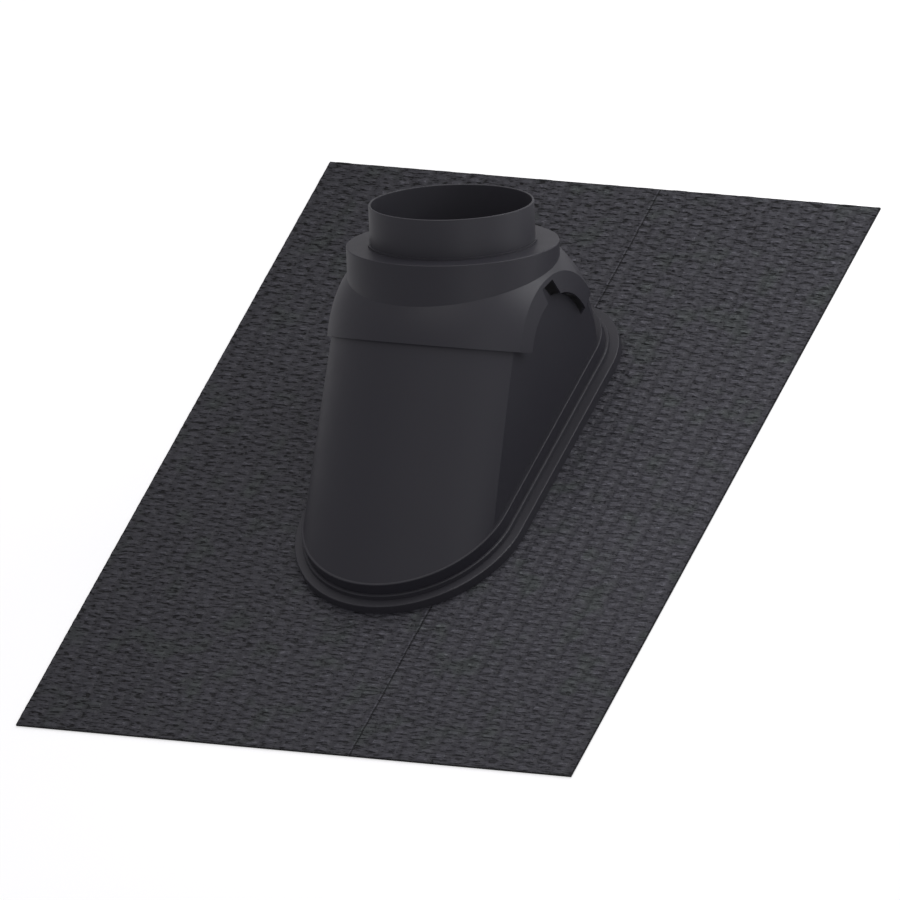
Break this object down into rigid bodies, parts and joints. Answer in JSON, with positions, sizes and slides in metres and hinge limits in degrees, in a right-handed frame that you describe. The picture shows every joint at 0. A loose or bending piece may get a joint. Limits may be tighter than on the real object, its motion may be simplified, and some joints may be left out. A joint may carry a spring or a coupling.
{
  "type": "roof penetration fitting",
  "caption": "Pitched-roof flashing for a round flue pipe: crimped flexible apron under a moulded base, with a hood and sleeve that swivel to suit the roof's pitch.",
  "frame": {"origin": "centre of the apron's underside", "axes": "+X across the roof, +Y up the slope, +Z away from the roof"},
  "size_m": [0.5, 0.637, 0.2025],
  "materials": {
    "apron": "matte, crimped",
    "bonding_strip": "tacky matte",
    "frame": "satin, fine moulded grain",
    "base": "satin, fine moulded grain",
    "hood": "satin, fine moulded grain",
    "sleeve": "satin, fine moulded grain"
  },
  "bodies": {
    "base": {"apron": "apron", "bonding_strip": "bonding_strip", "stepped_frame": "frame", "base_body": "base"},
    "hood": {"hood": "hood", "pipe_sleeve": "sleeve"}
  },
  "joints": [
    {"name": "hood_pitch", "type": "hinge", "parent": "base", "child": "hood", "pos_m": [0, 0.074, 0.0611], "axis": [1, 0, 0], "range_deg": [-15, 0]}
  ]
}
